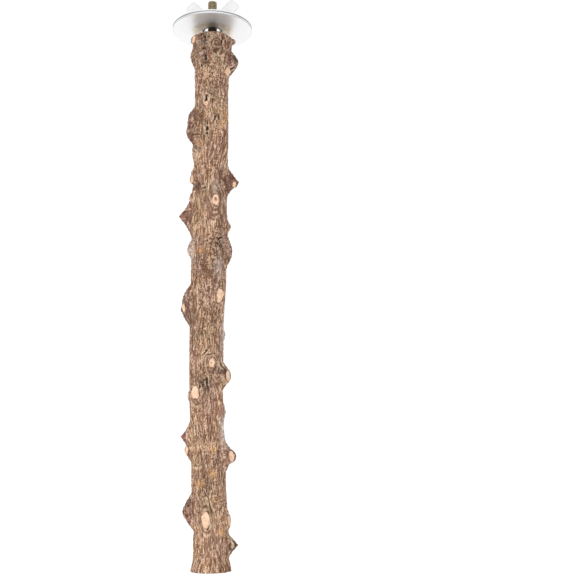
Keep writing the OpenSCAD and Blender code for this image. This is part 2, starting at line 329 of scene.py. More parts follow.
# Depths, pitches and widths of the relief, in mm
PLATE_RISE, GROOVE_DEPTH, FINE_DEPTH, CRACK_DEPTH, GRIT_DEPTH = 0.26, 0.36, 0.24, 0.14, 0.14
CRUMBLED_CRACK, CRUMBLED_GRIT = 0.16, 0.35  # what crumbling adds to these two
RIPPLE_PITCH, RIPPLE_DEPTH = 2.1, 0.2
CREASE_WIDTH, CREASE_DEPTH, BAND_OUT, BAND_WIDTH = 0.48, 0.8, 1.1, 0.5
COLLAR_DROP, COLLAR_DIP, COLLAR_GRAIN = 0.22, 0.4, 0.12
FOLD_PITCH, FOLD_DEPTH = 1.5, 0.3
RIM_DEPTH, RIM_REACH, CHIP_LEAST, CHIP_MORE = 0.9, 0.7, 0.2, 1.6

# Knots: share of the length, angle from +Z towards +X, then the rise, half length and half width
# in trunk radii, and how blunt the knot is: 1 is a cone, 2 a round swelling, 4 flat-topped
KNOTS = [
    (0.003, 94, 0.2, 0.24, 0.3, 3), (0.011, -61, 0.1, 0.5, 0.45, 2),
    (0.027, 13, 0.08, 0.5, 0.42, 3), (0.038, -92, 0.2, 0.8, 0.7, 2),
    (0.0535, 82, 0.56, 0.92, 0.85, 1.7), (0.1, 85, 0.04, 0.35, 0.4, 2),
    (0.139, -17, 0.08, 0.55, 0.4, 2), (0.167, -92, 0.44, 0.85, 0.8, 2),
    (0.195, -88, 0.5, 0.92, 0.75, 2), (0.23, -80, 0.17, 0.9, 0.6, 2),
    (0.283, -86, 0.17, 0.55, 0.5, 3), (0.292, 90, 0.78, 1.1, 0.8, 1),
    (0.325, -90, 0.2, 0.8, 0.8, 1.6), (0.332, 22, 0.16, 0.8, 0.62, 2.5),
    (0.36, -90, 0.82, 1.35, 0.9, 1.1), (0.38, 88, 0.22, 0.5, 0.5, 1.5),
    (0.423, -90, 0.26, 0.6, 0.6, 2), (0.427, 88, 0.31, 1.08, 0.6, 2),
    (0.514, 46, 0.06, 0.7, 0.5, 3), (0.527, -88, 0.48, 1.3, 0.9, 3),
    (0.582, 88, 0.11, 0.45, 0.5, 2), (0.637, 16, 0.14, 0.6, 0.5, 2.5),
    (0.657, 82, 0.38, 0.84, 0.7, 2.4), (0.692, -38, 0.14, 0.65, 0.55, 2.5),
    (0.693, -93, 0.14, 0.4, 0.4, 2), (0.722, 88, 0.13, 0.6, 0.5, 2),
    (0.766, -90, 0.58, 1, 0.75, 1.1), (0.793, -84, 0.3, 0.6, 0.6, 2),
    (0.8, 84, 0.6, 1.02, 0.75, 1.2), (0.897, -90, 0.56, 1.12, 0.85, 1.8),
    (0.911, -16, 0.14, 0.75, 0.5, 2.5), (0.911, 80, 0.16, 0.65, 0.5, 3),
    (0.955, 90, 0.54, 0.7, 0.65, 1.15), (0.01, 134, 0.32, 0.55, 0.5, 2),
    (0.012, -134, 0.3, 0.55, 0.5, 2), (0.05, 170, 0.3, 0.9, 0.8, 2),
    (0.12, 215, 0.5, 0.85, 0.7, 1.3), (0.165, 150, 0.24, 0.75, 0.6, 2),
    (0.25, 195, 0.42, 0.95, 0.8, 1.6), (0.3, 145, 0.16, 0.6, 0.5, 2),
    (0.395, 175, 0.55, 1, 0.8, 1.3), (0.45, 230, 0.2, 0.6, 0.5, 2), (0.49, 155, 0.3, 0.9, 0.7, 3),
    (0.56, 205, 0.36, 0.9, 0.7, 2), (0.61, 145, 0.18, 0.6, 0.5, 2),
    (0.67, 188, 0.5, 0.9, 0.75, 1.3), (0.74, 150, 0.3, 0.8, 0.65, 2.5),
    (0.78, 220, 0.2, 0.6, 0.5, 2), (0.85, 178, 0.4, 1, 0.8, 2), (0.935, 200, 0.34, 0.8, 0.7, 1.6),
]
# Twigs trimmed off flush: share of the length, angle, diameter in trunk radii, how far the twig
# leans along the branch, how far the cut is turned round the branch and how far its long axis is
# tilted, all three in degrees, and how much of the cut its dark heart fills
TWIGS = [
    (0.0123, -58, 0.34, 47, 15, 0, 0.1), (0.0747, 62, 0.42, 41, -20, 8, 0),
    (0.147, -16, 0.2, 40, 0, 20, 0.3), (0.2207, -58, 0.28, 42, 10, 0, 0.9),
    (0.2887, -74, 0.32, 52, 22, 0, 0), (0.2987, 80, 0.26, 53, -35, 15, 0.1),
    (0.3364, 18, 0.36, 62, 0, 0, 0.42), (0.515, 40, 0.46, 60, 0, 18, 0),
    (0.5343, -75, 0.3, 53, 25, 0, 0), (0.6374, 14, 0.35, 53, 0, 0, 0.25),
    (0.659, 68, 0.36, 58, -15, 0, 0), (0.69, -36, 0.56, 42, 0, -15, 0.1),
    (0.7898, -76, 0.3, 52, 25, 0, 0.1), (0.8014, 73, 0.42, 48, -25, 0, 0.15),
    (0.91, -14, 0.47, 60, 0, 0, 0.12), (0.913, 72, 0.32, 58, -15, 0, 0),
    (0.05, 170, 0.42, 45, 0, 0, 0.1), (0.165, 150, 0.34, 50, 0, 10, 0.2),
    (0.3, 145, 0.3, 45, 0, 0, 0.3), (0.49, 155, 0.46, 52, 0, -12, 0.1),
    (0.56, 205, 0.4, 40, 0, 0, 0.15), (0.74, 150, 0.46, 50, 0, 10, 0.1),
    (0.85, 178, 0.42, 45, 0, 0, 0.2),
]
# Splits: distance from the bolt's end, angle, length, width and depth, and tilt in degrees
SPLITS = [
    (44.4, -16, 6.8, 1.6, 1.6, 3), (63.2, -18, 3.4, 1.2, 1.4, 4), (65.6, -16, 3.4, 1, 1.2, -6),
    (199, -5, 5.2, 1.2, 1.3, -29), (200, 12, 4.5, 1, 1.2, -68), (215.8, 1, 5.4, 1.2, 1.4, 6),
    (285.3, 2, 5.6, 1.1, 1.3, 19), (296.5, -4, 5.8, 0.8, 1, -21), (297, -53, 5.5, 0.8, 1, 9),
    (306.5, 72, 6, 0.9, 1, 0), (286.8, 40, 3.6, 1, 1.1, -33), (130.9, 40, 3, 1.1, 1.2, -50),
    (128.2, 50, 4.2, 0.8, 1, 12), (206, 56, 4.4, 1.6, 1.2, 36), (218.9, -22, 4, 0.9, 1, 16),
    (263.5, -40, 3.4, 0.9, 1, -78), (55.8, 26, 3.6, 1.2, 1.1, 20), (57, 10, 3.4, 1, 1.2, -11),
    (21.8, 72, 6.2, 1.2, 1.1, -12), (22.1, -38, 3.6, 0.8, 1, 2), (22.8, 14, 3.6, 0.7, 0.8, 0),
    (8.2, -2, 3.4, 0.7, 0.9, 0), (6.2, 30, 4, 0.9, 1, 0), (10.4, 35, 3, 0.9, 1, 0),
    (17.2, -20, 3.4, 1.3, 1, 26), (100.4, -22, 3.4, 1.3, 1, -60), (120, 185, 12, 0.9, 1.2, 0),
    (200, 160, 16, 0.8, 1.1, 4), (270, 210, 12, 0.9, 1.2, -3), (235, 120, 10, 0.7, 1, 0),
    (150, -130, 13, 0.8, 1, 2), (80, 125, 12, 0.8, 1, 0), (64.5, -13, 16, 0.7, 0.9, 1),
    (73.5, -60, 2.6, 1.2, 1, 10),
]
# Pits: distance from the bolt's end, angle, radius and depth
PITS = [
    (232.8, -38, 0.8, 1.2), (255.3, 47, 1.2, 1.4), (283.6, -70, 0.8, 1.2), (3.5, -24, 0.8, 1),
    (3.7, -14, 0.7, 0.9), (5.7, -22, 0.7, 1), (4.7, -32, 0.6, 0.8), (7.9, -25, 0.6, 0.8),
    (19.8, -23, 0.7, 0.9), (19.6, -12, 0.6, 0.9), (12.4, -39, 0.6, 0.8), (14.6, -5, 0.7, 0.9),
    (19.3, 54, 0.7, 0.9), (70.6, -70, 1, 1), (99.5, -48, 0.8, 0.9), (142.5, -34, 0.7, 1),
    (131.8, 34, 0.9, 1.2), (133.2, 40, 0.8, 1.2), (134.5, 31, 0.9, 1.2), (130.1, 45, 0.6, 1),
    (214.6, -3, 1.1, 1.2), (216.8, 3, 1.1, 1.2), (216, -10, 0.7, 0.9), (15.6, -17, 0.8, 1),
    (18.2, -24, 0.8, 1), (11.2, -28, 0.6, 0.9), (100, 170, 1, 1), (190, 200, 1, 1),
]
# Creases that curl round a knot: distance from the bolt's end, angle, half length and half width
# of the curl, its tilt, then which way its middle lies from up towards the right, and its sweep
CREASES = [
    (106.2, 17, 8.2, 3.6, 0, 30, 130), (106.4, 17, 5.6, 2.3, 0, 20, 160),
    (107.5, 17, 6.6, 4.6, 0, 160, 60), (9.5, 12, 4.2, 2.6, 0, 10, 120),
    (9.9, 12, 3.4, 1.6, 0, 190, 120), (222.2, -34, 6.6, 5.2, -10, 60, 70),
    (222.2, -34, 8.6, 7.2, -10, 40, 45), (222.2, -36, 6.2, 4.2, 0, 190, 60),
    (205.8, 14, 5.6, 3.4, 0, 120, 60), (205.2, 14, 6, 4, 0, -60, 60),
    (258.4, -46, 6.2, 4.2, 0, 100, 70), (258.4, -46, 4.6, 2.8, 0, 160, 70),
    (169.3, -66, 8.5, 4.6, 0, 90, 60), (169.3, -66, 6.5, 3.4, 0, 70, 55),
    (292.4, -12, 6.8, 4.2, 0, 20, 60), (292.4, -12, 7.2, 4.5, 0, 190, 50),
    (73.8, -54, 4, 2.6, 0, 60, 150), (93.5, 62, 8.5, 4.6, 0, -90, 60),
    (17.2, 66, 6, 4, 0, -60, 70), (258.4, 62, 6.8, 4.6, 0, -60, 60), (61.6, -58, 8, 4, 0, 110, 50),
    (289, -60, 9.5, 4.5, 0, 80, 60),
]
# Patches of each kind: distance from the bolt's end, angle, half length and half width
PATCHES = {
    "orange": [
        (55, 56, 4.2, 2), (138.6, -26, 1.6, 2), (254.3, 22, 1.6, 2.6), (268, 13, 2.2, 2.4),
        (273.4, -30, 1.8, 2.2), (300, 35, 2, 2), (282.3, 14, 1.5, 1), (71.8, -40, 2, 1.3),
        (80, -46, 2.4, 1.3), (53.5, 31, 2.6, 1.5), (59, 36, 2.6, 1.2),
    ],
    "weathered": [
        (132.1, 43, 5.5, 2.8), (217.2, -5, 5.5, 4.6), (44.6, -34, 2.8, 1.4), (45.1, 3, 2.6, 1.3),
        (18, -22, 5, 4), (4.5, -22, 3.5, 4), (99.5, -50, 4, 3), (285.5, 6, 3, 1.2),
        (283.6, -70, 2, 2), (308.5, 82, 5, 3.5), (6.5, -28, 6, 6), (17.5, 80, 4.5, 3.5),
        (210.5, 52, 4, 3), (4, 42, 4, 5), (73.5, -58, 1.4, 1.2), (56.5, 24, 4, 3),
        (22.8, 84, 3.5, 3), (3.5, 92, 2.4, 3),
    ],
    "grey": [
        (187.5, 78, 13, 3.4), (136.8, -88, 6.5, 4.5), (100.3, 17, 2.6, 1.2), (147, 38, 5, 2.6),
        (14.2, -37, 1.2, 0.9), (16.6, -34, 1, 0.8), (78.8, -56, 2.8, 1), (5.7, -46, 1, 0.8),
        (7.9, -26, 1.5, 1), (242, 70, 8, 3),
    ],
    "red": [
        (138.6, -40, 1.4, 2.2), (48.6, -24, 2.6, 1.2), (47.2, -8, 2.2, 1.3),
        (116.2, -88, 1.6, 1.8), (93.8, 88, 1.8, 2), (246.8, -88, 1.7, 1.8), (60.9, -84, 2.6, 2),
        (232, 56, 2.8, 2), (16.8, -14, 3, 2), (7, 38, 4, 2), (22.8, 14, 2, 1),
    ],
    "crumbling": [
        (12, -18, 12, 12), (30, 5, 14, 7), (40, 0, 6, 8), (56, 30, 8, 8), (132, 30, 8, 7),
        (145, 35, 8, 6), (173, 10, 10, 7), (210, 10, 8, 8), (285, 20, 8, 8), (258, 10, 7, 8),
        (20, 170, 20, 20), (160, 190, 20, 10), (76, -50, 6, 4),
    ],
    "a little dark": [
        (10, -10, 12, 16), (149, 0, 10, 9), (184, 0, 10, 8), (276, 0, 10, 7), (40, -10, 4, 6),
        (138.6, 20, 8, 9), (61.3, -62, 10, 5.5), (96.5, 62, 6.5, 4.5), (176, -64, 10, 6),
        (11.5, 26, 6, 4), (16.5, -12, 5, 5), (4, -5, 5, 14),
    ],
}


def smooth(low, high, value):
    step = np.clip((value - low) / (high - low), 0, 1)
    return step * step * (3 - 2 * step)


def from_place(share, degrees, at, heading, tilt=0.0):
    """Distances in mm down the branch and round it from a place on the bark, turned by a tilt."""
    along = share * LENGTH_MM - at
    across = np.radians(folded(degrees - heading)) * RADIUS_MM
    c, s = math.cos(math.radians(tilt)), math.sin(math.radians(tilt))
    return along * c + across * s, across * c - along * s


def each_knot(share, degrees, longer=1.0, wider=1.0):
    """Each knot, with the distance from its middle first, where 1 is its edge."""
    for at, heading, rise, half_length, half_width, blunt in KNOTS:
        down, over = from_place(share, degrees, at * LENGTH_MM, heading)
        far = np.hypot(down / (longer * half_length), over / (wider * half_width)) / RADIUS_MM
        yield far, heading, rise, half_length, blunt


def swelling(share, degrees):
    """How far the knots lift the bark."""
    total = 0
    for far, heading, rise, half_length, blunt in each_knot(share, degrees):
        lift = rise * TRUNK_RADIUS * np.clip(1 - far ** blunt, 0, 1) ** KNOT_FLANK
        total = total + lift ** 2
    return np.sqrt(total)


def plain_skin(share, degrees):
    """The bark's outside as the CAD has it, without fine relief: its girth and knots, and two
    sets of long ridges that wind round the branch, six and five of them."""
    ridges = (np.sin(np.radians(6 * degrees + 140 * np.sin(np.radians(700 * share))))
              + np.sin(np.radians(5 * degrees - 900 * share))) / 2
    return (TRUNK_RADIUS * between(GIRTHS, 1, share) + RIDGE_LIFT * ridges
            + swelling(share, degrees))


def twig_face(at, heading):
    """Distance of a trimmed twig's sawn face from the middle of the branch."""
    return plain_skin(at, heading) + TWIG_PROUD


def add_layer(mesh, name, values):
    """Stores a number or a vector at each point of a mesh, under a name."""
    values = np.asarray(values, np.float32).ravel()
    single = values.size == len(mesh.vertices)
    layer = mesh.attributes.new(name, "FLOAT" if single else "FLOAT_VECTOR", "POINT")
    layer.data.foreach_set("value" if single else "vector", values)


share = np.linspace(0, 1, BARK_RINGS)[:, None]
degrees = (np.arange(BARK_SIDES) * 360 / BARK_SIDES)[None, :]
skin = plain_skin(share, degrees) / MM

# Where the grain runs: it drifts from side to side and parts round each knot
grain_degrees = degrees + 0 * share
for far, heading, rise, half_length, blunt in each_knot(share, degrees, 1.25, 1.1):
    parted = min(0.75, 0.35 + rise) * np.exp(-far ** 2)
    grain_degrees = grain_degrees - folded(degrees - heading) * parted
bark_point = around_branch(share, grain_degrees, TRUNK_RADIUS) / MM
drift = noise_at(bark_point * (0.12, 0.035, 0.12), 11.0)
flow = bark_point + np.stack([drift, 0 * drift, -drift], axis=-1) * 1.6

# Long fissures, finer ones, plates and grit, each from noise of its own size along that grain
coarse = noise_at(flow * (0.36, 0.06, 0.36), 3.0)
fine = noise_at(flow * (0.8, 0.2, 0.8), 29.0)
plates = noise_at(flow * (0.6, 0.42, 0.6), 47.0)
grit = noise_at(bark_point * (0.95, 0.75, 0.95), 83.0)


def patched(kind):
    """Strength of one kind of patch all over the bark, with ragged edges."""
    total = np.zeros_like(skin)
    for at, heading, half_length, half_width in PATCHES[kind]:
        down, over = from_place(share, degrees, at, heading)
        far = (down / half_length) ** 2 + (over / half_width) ** 2
        total = np.maximum(total, np.exp(-far * (1 + 0.5 * fine + 0.5 * grit)))
    return total


crumbling = np.clip(patched("crumbling") * 1.2, 0, 1)
deep_groove = (1 - smooth(0.02, 0.2, np.abs(coarse))) * (1 - 0.5 * crumbling)
fine_groove = 1 - smooth(0.02, 0.24, np.abs(fine))
cross_crack = 1 - smooth(0.0, 0.1, np.abs(plates))
skin = (skin + PLATE_RISE - GROOVE_DEPTH * deep_groove - FINE_DEPTH * fine_groove
        - (CRACK_DEPTH + CRUMBLED_CRACK * crumbling) * cross_crack
        + (GRIT_DEPTH + CRUMBLED_GRIT * crumbling) * grit)
# Painted shade: the bark is darkened in its fissures, fine grooves and cracks, where the relief is
# sunk.
painted_groove_shade = np.clip(deep_groove * 0.8 + fine_groove * 0.45
                 + cross_crack * (0.3 + 0.5 * crumbling) - 0.35 * grit, 0, 1)

# Rings that the bark folds into round each knot: ring marks their grooves, band what lies between.
# In the bark's colour, ring is painted shade in the grooves and band painted light on the crests.
ring = band = np.zeros_like(skin)
for far, heading, rise, half_length, blunt in each_knot(share, degrees):
    near = (1 - smooth(0.55, 1.1, far)) * (0.4 + 0.6 * smooth(0.1, 0.3, far))
    rings_out = far * half_length * RADIUS_MM / RIPPLE_PITCH + 0.7 * coarse + 0.3 * fine
    ripple = np.sin(2 * math.pi * rings_out)
    strength = near * (1 if rise < 0.25 and blunt > 1.6 else 0.45)
    ring = np.maximum(ring, strength * smooth(0.3, 0.9, -ripple))
    band = np.maximum(band, strength * smooth(0.3, 0.9, ripple))
    skin = skin + near * RIPPLE_DEPTH * ripple

# Splits with a wavering line and pale lips, then pits
shadow = lip = np.zeros_like(skin)
for at, heading, length, width, depth, tilt in SPLITS:
    down, over = from_place(share, degrees, at, heading, tilt)
    off = np.abs(over + 0.3 * np.sin(down / 1.1) + 0.6 * grit) / width
    taper = np.sqrt(np.clip(1 - (2 * down / length) ** 2, 0, 1))
    open_here = taper * (1 - smooth(0.2, 0.6, off)) * (0.8 + 0.5 * fine)
    skin = skin - depth * open_here
    shadow = np.maximum(shadow, open_here)
    lip = np.maximum(lip, taper * np.exp(-((off - 0.85) / 0.25) ** 2))
for at, heading, radius, depth in PITS:
    down, over = from_place(share, degrees, at, heading)
    inside = np.exp(-(down ** 2 + (over + 0.6 * grit) ** 2) / radius ** 2 * (1.2 + fine))
    skin = skin - depth * inside
    shadow = np.maximum(shadow, 0.75 * inside)

# Creases, each part of an oval round its knot, with a pale band outside. Each crease also goes
# into ring, as painted shade.
for at, heading, half_long, half_wide, tilt, middle, sweep in CREASES:
    down, over = from_place(share, degrees, at, heading, tilt)
    off = (np.hypot(down / half_long, over / half_wide) - 1) * half_wide + 0.4 * grit
    turn = np.degrees(np.arctan2(over / half_wide, -down / half_long))
    strength = ((1 - smooth(0.55 * sweep, sweep, np.abs(folded(turn - middle))))
                * (0.85 + 0.4 * fine))
    line = strength * np.exp(-(off / CREASE_WIDTH) ** 2)
    skin = skin - CREASE_DEPTH * line
    ring = np.maximum(ring, line)
    band = np.maximum(band, 0.8 * strength * np.exp(-((off - BAND_OUT) / BAND_WIDTH) ** 2))

# The collar of bark round each trimmed twig, sawn off in the same plane and folded outside it
collar = np.zeros_like(skin)
for at, heading, thick, lean, turned, tilt, heart_share in TWIGS:
    down, over = from_place(share, degrees, at * LENGTH_MM, heading, -tilt)
    half = thick * RADIUS_MM / 2
    far = np.hypot(down * math.cos(math.radians(lean)), over) / half
    off = np.radians(np.clip(folded(degrees - heading - turned), -60, 60))
    plane = twig_face(at, heading) / MM * math.cos(math.radians(turned)) / np.cos(off)
    edge = (plane - COLLAR_DROP - COLLAR_DIP * smooth(1.02, 0.9, far)
            - COLLAR_GRAIN * fine_groove)
    held = 1 - smooth(1.12, 1.55, far)
    skin = skin + (edge - skin) * held
    collar = np.maximum(collar, held)
    shadow = np.maximum(shadow, (0.6 + 0.3 * plates) * np.exp(-((far - 1.06) / 0.09) ** 2))
    around = (smooth(1.1, 1.3, far)
              * (1 - smooth(1.8 + 1.6 * heart_share, 2.4 + 2.4 * heart_share, far)))
    folds_out = (far - 1) * half / FOLD_PITCH + 0.25 * fine + 0.3 * coarse
    folds = 0.5 - 0.5 * np.sin(2 * math.pi * folds_out)
    skin = skin - around * FOLD_DEPTH * folds
    around = around * (0.35 + 0.5 * heart_share)
    # The folds' grooves also go into ring as painted shade, and their crests into band as painted
    # light.
    ring = np.maximum(ring, around * folds ** 2)
    band = np.maximum(band, around * (1 - folds) ** 2)

# The saw leaves the bark a little below the wood at both ends, with a worn and chipped edge
skin = skin - RIM_DEPTH * (np.exp(-share * LENGTH_MM / RIM_REACH)
                           + np.exp(-(1 - share) * LENGTH_MM / RIM_REACH))
chips = np.clip(noise_at(straight_out(degrees) * 4.5, 5.0) + 0.1, 0, 0.6)
saw_drop = (CHIP_LEAST + CHIP_MORE * chips) * MM
inner_share = np.linspace(1, 0, INNER_RINGS)[:, None]
bark_rings = np.concatenate([
    around_branch(share, degrees, skin * MM),
    around_branch(inner_share, degrees, wood_radius(inner_share) - 0.0002)])
bark_rings[:, :, 1] = np.clip(bark_rings[:, :, 1], -BRANCH_LENGTH + saw_drop, -saw_drop)
bark_mesh = closed_tube("bark_skin", bark_rings, capped=False)
bark_mesh.shade_smooth()

marks = {
    "grain": flow * MM, "crumbling": crumbling, "shadow": shadow, "lip": lip,
    "painted_groove_shade": painted_groove_shade * (1 - 0.6 * collar), "ring": ring * (1 - 0.7 * collar),
    "band": band * (1 - 0.5 * collar),
    "knob": smooth(0.05, 0.3, swelling(share, degrees) / TRUNK_RADIUS),
    "orange": patched("orange"), "grey": patched("grey"), "red": patched("red"),
    "weathered": np.maximum(patched("weathered"), 0.55 * patched("a little dark")),
}
for name, values in marks.items():
    add_layer(bark_mesh, name, np.concatenate([values, 0 * values[:INNER_RINGS]]))

rind = Finish("dry fissured bark")
grain = rind.add("ShaderNodeAttribute", attribute_name="grain").outputs["Vector"]
wavy = rind.vector("ADD", grain, rind.wandering(rind.place, 420.0, 2.0, 0.0009))
long_tone, long_crack = rind.flakes(1300.0, rind.stretched((1, 0.18, 1), place=wavy))
crumb_tone, crumb_crack = rind.flakes(1150.0, rind.stretched((1, 0.8, 1), place=wavy))
threads = rind.speckle(1600.0, 1.0, 0.6, 0.1, rind.stretched((1, 0.12, 1), place=wavy))
crumbs = rind.speckle(1400.0, 1.0, 0.6, 0.0, rind.stretched((1, 0.7, 1), place=wavy))
drifting = rind.speckle(85.0, 2.0, place=rind.stretched((1, 0.35, 1)))
mossy = rind.speckle(110.0, 2.0, place=rind.stretched((1, 0.5, 1), (0, 0.9, 0)))
dust = rind.speckle(300.0, 4.0, 0.65)
crumbled = rind.mark("crumbling")
crumbs = rind.mixed(rind.reckon("MULTIPLY_ADD", crumbled, 0.45, 0.55), (0.5, 0.5, 0.5), crumbs)
tone = rind.mixed(crumbled, long_tone, crumb_tone)
crack = rind.mixed(crumbled, long_crack, crumb_crack)
knob, orange, red, grey = (rind.mark(name) for name in ("knob", "orange", "red", "grey"))
weathered = rind.times(rind.mark("weathered"), rind.ramp(dust, (0.42, 0.25), (0.56, 1.0)))

broad_colour = rind.layered(
    (0.6, 0.33, 0.18),
    ((drifting, (0.42, 0.0), (0.58, 1.0)), (0.5, 0.275, 0.2)),
    ((mossy, (0.54, 0.0), (0.66, 0.6)), (0.56, 0.39, 0.21)),
    ((dust, (0.5, 0.0), (0.7, 0.3)), (0.36, 0.21, 0.145)),
    (rind.times(knob, 0.7), (0.35, 0.205, 0.175)),
    (grey, (0.7, 0.6, 0.53)),
    (red, (0.36, 0.13, 0.1)),
    (orange, (0.66, 0.37, 0.17)),
    (weathered, (0.16, 0.1, 0.07)))
# Lighter and darker copies of the bark colour. They give the flakes their random tone, and they
# also paint light and shade: light on the raised threads, crumbs and bands, shade on the low
# threads and crumbs, in the cracks and in the rings.
pale_tone_and_painted_light = rind.mixed(0.62, broad_colour, (0.98, 0.775, 0.575))
dark_tone_and_painted_shade = rind.mixed(0.9, broad_colour, (0.12, 0.05, 0.025))
bark_colour = rind.layered(
    broad_colour,
    ((tone, (0.7, 0.0), (0.9, 0.5)), pale_tone_and_painted_light),
    ((threads, (0.53, 0.0), (0.59, 1.0)), pale_tone_and_painted_light),
    ((threads, (0.41, 1.0), (0.47, 0.0)), dark_tone_and_painted_shade),
    ((crumbs, (0.56, 0.0), (0.61, 0.95)), pale_tone_and_painted_light),
    ((crumbs, (0.39, 1.0), (0.45, 0.0)), dark_tone_and_painted_shade),
    ((tone, (0.1, 0.7), (0.25, 0.0)), dark_tone_and_painted_shade),
    ((crack, (0.02, 0.75), (0.1, 0.0)), dark_tone_and_painted_shade),
    (rind.times(rind.mark("band"), 0.75), pale_tone_and_painted_light),
    (rind.times(rind.mark("ring"), 0.95), dark_tone_and_painted_shade),
    ((rind.mark("painted_groove_shade"), (0.3, 0.0), (1.0, 0.7)), (0.14, 0.07, 0.04)),
    (rind.times(orange, 0.42), (0.8, 0.44, 0.18)),
    (rind.times(red, 0.3), (0.4, 0.13, 0.08)),
    (rind.times(grey, 0.3), (0.9, 0.8, 0.72)),
    (weathered, (0.42, 0.37, 0.38), "MULTIPLY"),
    (knob, (0.83, 0.76, 0.78), "MULTIPLY"),
    (rind.times(rind.mark("lip"), 0.8), (0.86, 0.66, 0.46)),
    ((rind.mark("shadow"), (0.25, 0.0), (0.7, 1.0)), (0.03, 0.014, 0.008)))
rind.bumped((threads, 0.0005), (crumbs, 0.0005), (crack, 0.0003))
rind.set(Base_Color=bark_colour, Roughness=0.9, Specular_IOR_Level=0.25)

bark = add_piece("bark_skin", bark_mesh, rind)
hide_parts("bark")
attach(bark, "branch")

# The trimmed twigs: the pale wood of each side twig where it was sawn off flush with its collar
# of bark. One sawn twig is placed over each of them and stretched to its slanting cut.
TWIG_DEPTH = 0.0016
TWIG_SIDES = 40
TWIG_UNEVENNESS = 0.0028
# Radius and height of one sawn twig, as shares of its girth and of its depth
TWIG_PROFILE = [(0.0, 0.0), (0.14, 0.012), (0.3, 0.004), (0.5, 0.012), (0.7, 0.002), (0.86, 0.01),
                (0.95, -0.02), (1.0, -0.09), (1.0, -0.5), (0.98, -1.0), (0.0, -1.0)]


def turned_rings(profile, sides):
    """Rings round Z of a profile of radius and height."""
    turns = np.arange(sides) * 2 * math.pi / sides
    return np.array([np.stack([radius * np.cos(turns), radius * np.sin(turns),
                               height + 0 * turns], axis=-1) for radius, height in profile])


one_twig_mesh = closed_tube("one_twig", turned_rings(TWIG_PROFILE, TWIG_SIDES))
add_layer(one_twig_mesh, "reach", [min(1.0, math.hypot(point.co.x, point.co.y))
                                   for point in one_twig_mesh.vertices])
one_twig = bpy.data.objects.new("one_twig", one_twig_mesh)

centres, outwards, upwards, girths = [], [], [], []
for at, heading, thick, lean, turned, tilt, heart_share in TWIGS:
    half = thick * TRUNK_RADIUS / 2
    facing, tilted = math.radians(heading + turned), math.radians(tilt)
    centres.append(around_branch(at, heading, twig_face(at, heading)).tolist())
    outwards.append((math.sin(facing), 0, math.cos(facing)))
    upwards.append((math.sin(tilted) * math.cos(facing), math.cos(tilted),
                    -math.sin(tilted) * math.sin(facing)))
    girths.append((half, half / math.cos(math.radians(lean)), TWIG_DEPTH))
places = bpy.data.meshes.new("twig_places")
places.from_pydata(centres, [], [])
for name, values in (("outward", outwards), ("upward", upwards), ("girth", girths),
                     ("heart", [row[6] for row in TWIGS])):
    add_layer(places, name, values)

twig_wood = Finish("sawn twig")
reach = twig_wood.mark("reach")
blotches = twig_wood.speckle(700.0)
streaks = twig_wood.speckle(1400.0, 2.0, place=twig_wood.stretched((1, 0.2, 1)))
cloudy = twig_wood.speckle(260.0, 2.0)
twig_rings = twig_wood.reckon("SINE", twig_wood.reckon(
    "MULTIPLY_ADD", reach, 24.0, twig_wood.times(blotches, 5.0)))
in_heart = twig_wood.reckon("MULTIPLY", twig_wood.reckon(
    "SUBTRACT", twig_wood.mark("heart"), reach), 6.0, clamped=True)
twig_colour = twig_wood.layered(
    (0.8, 0.52, 0.37),
    (twig_wood.mark("tone"), (0.7, 0.47, 0.31)),
    ((cloudy, (0.42, 0.0), (0.6, 0.6)), (0.9, 0.69, 0.53)),
    ((blotches, (0.5, 0.0), (0.68, 0.45)), (0.58, 0.33, 0.19)),
    ((twig_rings, (0.2, 0.0), (0.95, 0.32)), (0.56, 0.3, 0.14)),
    ((streaks, (0.55, 0.0), (0.72, 0.35)), (0.88, 0.66, 0.47)),
    (twig_wood.times(in_heart, 0.85), (0.24, 0.085, 0.04)),
    ((reach, (0.88, 0.0), (0.99, 0.8)), (0.34, 0.19, 0.11)))
twig_wood.bumped((streaks, 0.00008), (blotches, 0.00006))
twig_wood.set(Base_Color=twig_colour, Roughness=0.7, Specular_IOR_Level=0.3)


def settled(rough):
    """The plain mesh that an object's modifiers make, which takes the object's place."""
    seen = rough.evaluated_get(bpy.context.evaluated_depsgraph_get())
    mesh = bpy.data.meshes.new_from_object(seen)
    bpy.data.objects.remove(rough)
    return mesh


class Tree(Nodes):
    """A Geometry Nodes tree with named inputs, each of its kind, the first a geometry."""

    def __init__(self, name, **kinds):
        super().__init__(bpy.data.node_groups.new(name, "GeometryNodeTree"))
        for ask, kind in kinds.items():
            self.tree.interface.new_socket(ask, socket_type="NodeSocket" + kind)
        self.given = self.add("NodeGroupInput").outputs
        self.here = self.add("GeometryNodeInputPosition").outputs[0]

    def end(self, geometry):
        self.tree.interface.new_socket("Made", in_out="OUTPUT", socket_type="NodeSocketGeometry")
        solid = self.add("GeometryNodeRealizeInstances", {"Geometry": geometry})
        self.add("NodeGroupOutput", {"Made": self.add("GeometryNodeSetMaterial", {
            "Geometry": solid, "Material": self.given["Finish"]})})

    def made(self, name, start, **values):
        """The plain mesh made of a starting mesh, with the tree's inputs set by identifier."""
        carrier = put(name, start)
        modifier = carrier.modifiers.new(name, "NODES")
        modifier.node_group = self.tree
        for socket in self.tree.interface.items_tree:
            if socket.name in values:
                modifier[socket.identifier] = values[socket.name]
        return settled(carrier)


